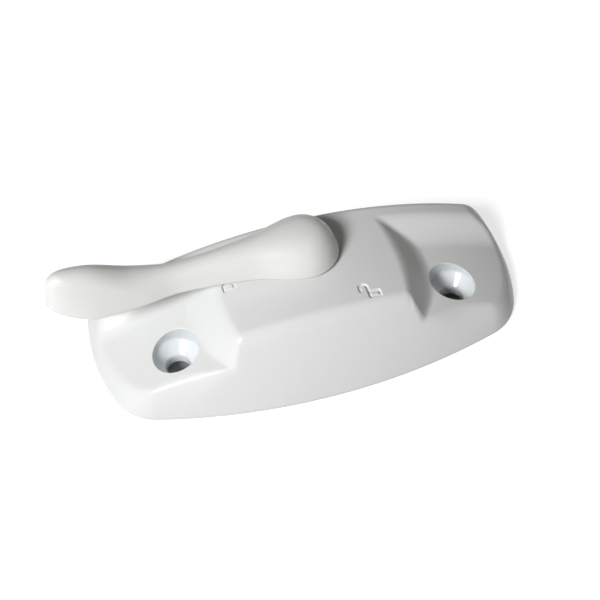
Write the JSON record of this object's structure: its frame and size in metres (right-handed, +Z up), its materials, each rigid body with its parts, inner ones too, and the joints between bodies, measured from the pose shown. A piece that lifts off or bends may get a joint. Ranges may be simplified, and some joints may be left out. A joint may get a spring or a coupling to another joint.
{
  "type": "sash lock",
  "caption": "Cam-action sash lock: low arched cast housing with a lowered pad and countersunk hole at each end, and a pivoted lever that swings a hooked cam out of the rear.",
  "frame": {"origin": "on the mounting plane, under the middle of the bounding box with the lever in its locked place", "axes": "+Z up off the sash, +X to the right seen from the room, +Y towards the keeper"},
  "size_m": [0.087, 0.0364, 0.0259],
  "materials": {
    "white_paint": "glossy cool white paint on a casting",
    "white_plastic": "glossy warm white",
    "bearing_plastic": "natural, satin",
    "zinc": "as-cast zinc grey",
    "steel": "bright plated steel"
  },
  "bodies": {
    "housing": {"housing": "white_paint", "pivot_bush": "bearing_plastic", "thrust_washer": "bearing_plastic", "detent_spring": "steel"},
    "lever": {"lever": "white_plastic", "spindle": "zinc", "detent_collar": "zinc", "cam": "zinc", "retaining_washer": "steel", "lock_washer": "steel", "retaining_screw": "steel"}
  },
  "joints": [
    {"name": "lever_turn", "type": "hinge", "parent": "housing", "child": "lever", "pos_m": [0.00275, 0.0028, 0], "axis": [0, 0, 1], "range_deg": [0, 135], "deforming": ["detent_spring"]}
  ]
}
